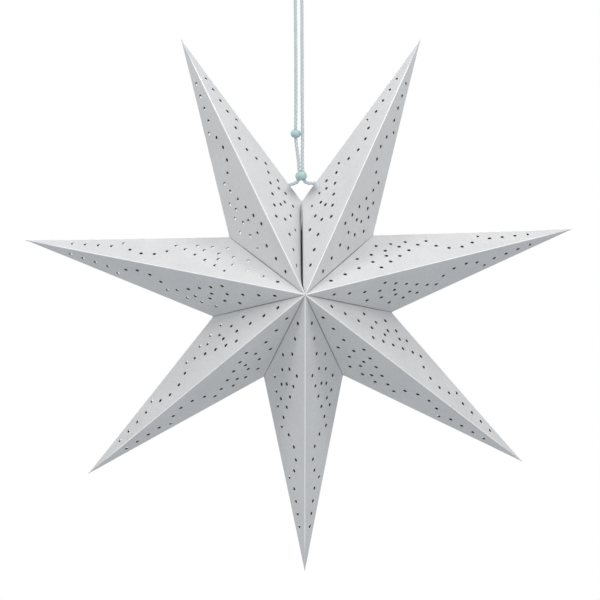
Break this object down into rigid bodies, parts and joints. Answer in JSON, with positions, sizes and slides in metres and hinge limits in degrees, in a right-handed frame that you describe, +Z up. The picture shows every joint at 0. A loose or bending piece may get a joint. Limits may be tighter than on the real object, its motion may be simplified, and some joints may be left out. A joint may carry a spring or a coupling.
{
  "type": "folded paper star",
  "caption": "Hanging star of seven hollow folded card points with rows of punched holes, on a corded loop with two beads.",
  "frame": {"origin": "where a hook or nail carries the cord's loop, at the inside of the loop's top", "axes": "+Z up, +X to the right seen from the front, +Y along the star's axis from front to back"},
  "size_m": [0.4399, 0.1396, 0.4826],
  "materials": {
    "card": "matt light grey card",
    "cord": "soft twisted cotton cord",
    "bead": "satin paint on turned wood"
  },
  "bodies": {
    "root": {"point_upper_right": "card", "point_upper_left": "card", "point_left": "card", "point_lower_left": "card", "point_bottom": "card", "point_lower_right": "card", "point_right": "card", "hanging_cord": "cord", "left_knot": "cord", "right_knot": "cord", "upper_bead": "bead", "lower_bead": "bead"}
  },
  "joints": []
}
